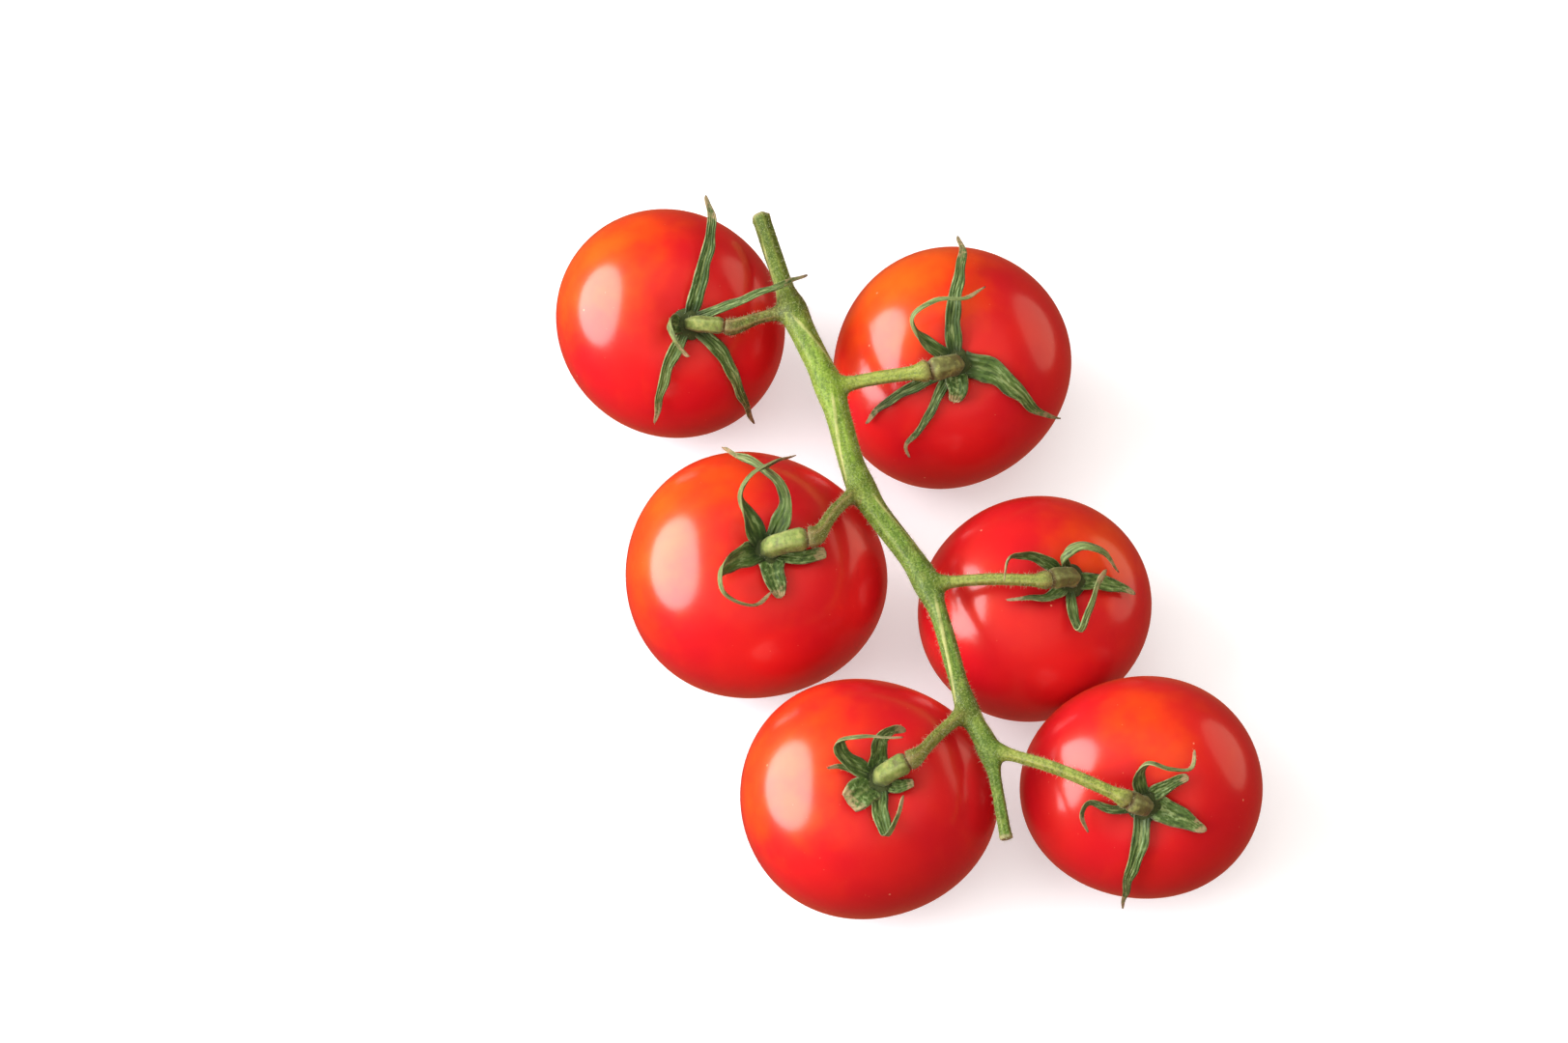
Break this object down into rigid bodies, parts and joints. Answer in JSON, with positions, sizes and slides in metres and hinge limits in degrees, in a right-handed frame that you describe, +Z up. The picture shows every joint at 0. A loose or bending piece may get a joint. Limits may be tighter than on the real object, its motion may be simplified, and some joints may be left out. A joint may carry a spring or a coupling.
{
  "type": "truss of tomatoes",
  "caption": "Truss of round red vine tomatoes on a green branching stem with curled sepals, cut from the plant and lying on a flat surface.",
  "frame": {"origin": "centre of the bounding box in plan, on the surface that the fruits rest on", "axes": "+Z up, the stem lies along Y with its cut end at +Y, odd fruits lie at -X of the stem and even ones at +X"},
  "size_m": [0.134, 0.149, 0.0533],
  "materials": {
    "stem": "fresh green stem, finely hairy, tan at the cut ends",
    "sepals": "matt dark green leaf with pale veins and edges, dry tan tips",
    "tomato_skin": "smooth glossy ripe red skin"
  },
  "bodies": {
    "root": {"main_stem": "stem", "calyx_1": "sepals", "calyx_2": "sepals", "calyx_3": "sepals", "calyx_4": "sepals", "calyx_5": "sepals", "calyx_6": "sepals", "tomato_1": "tomato_skin", "tomato_2": "tomato_skin", "tomato_3": "tomato_skin", "tomato_4": "tomato_skin", "tomato_5": "tomato_skin", "tomato_6": "tomato_skin"}
  },
  "joints": []
}
